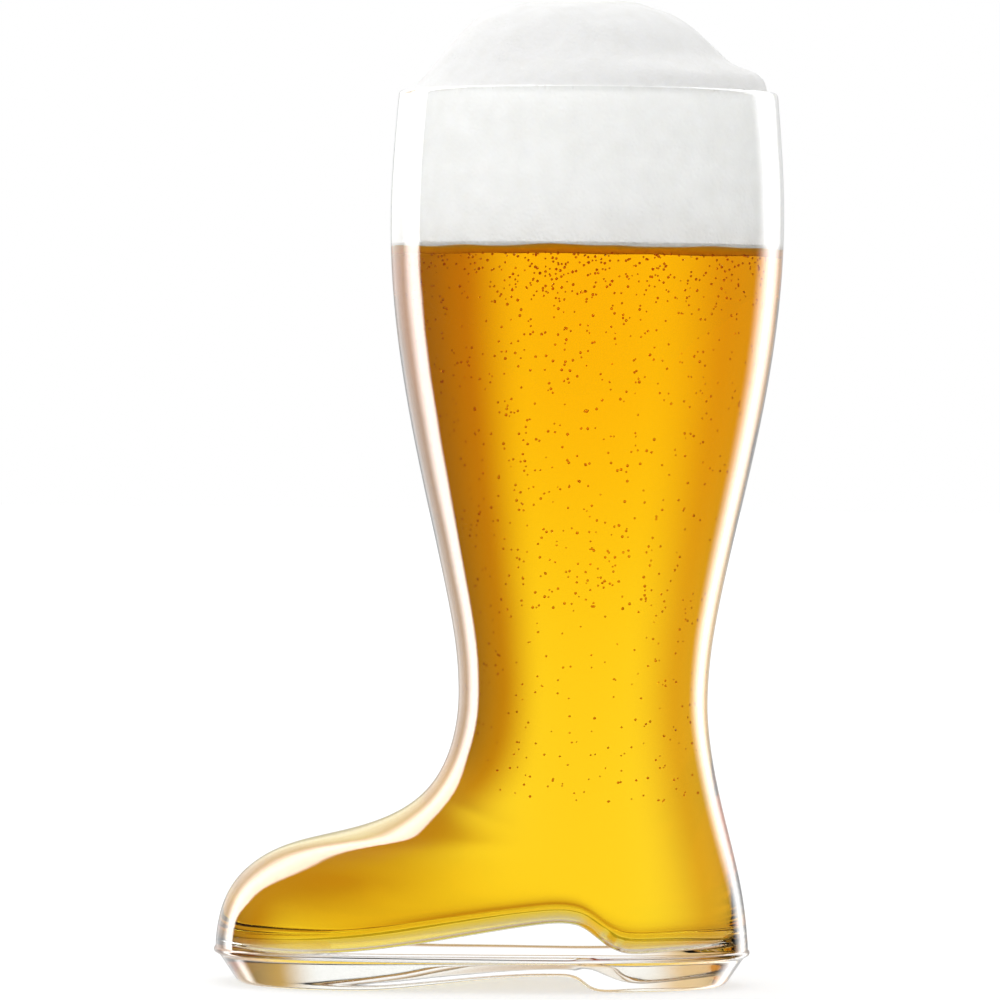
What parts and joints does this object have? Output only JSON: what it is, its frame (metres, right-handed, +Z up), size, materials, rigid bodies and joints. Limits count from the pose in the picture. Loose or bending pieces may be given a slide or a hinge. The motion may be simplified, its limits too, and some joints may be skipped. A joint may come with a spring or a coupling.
{
  "type": "beer boot glass",
  "caption": "Drinking glass moulded as a tall boot with calf, ankle, toe, welt, arched sole and heel, filled with golden beer under a domed head of foam.",
  "frame": {"origin": "centre of the bounding box at the table, under the sole", "axes": "+Z up along the leg, -X toward the toe and +X toward the heel, Y across the boot"},
  "size_m": [0.1458, 0.102, 0.2535],
  "materials": {
    "clear_glass": "clear moulded soda-lime glass, fire-polished",
    "beer": "clear golden lager with fine bubbles",
    "foam": "fine off-white beer foam"
  },
  "bodies": {
    "root": {"glass_boot": "clear_glass", "beer": "beer", "foam": "foam"}
  },
  "joints": []
}
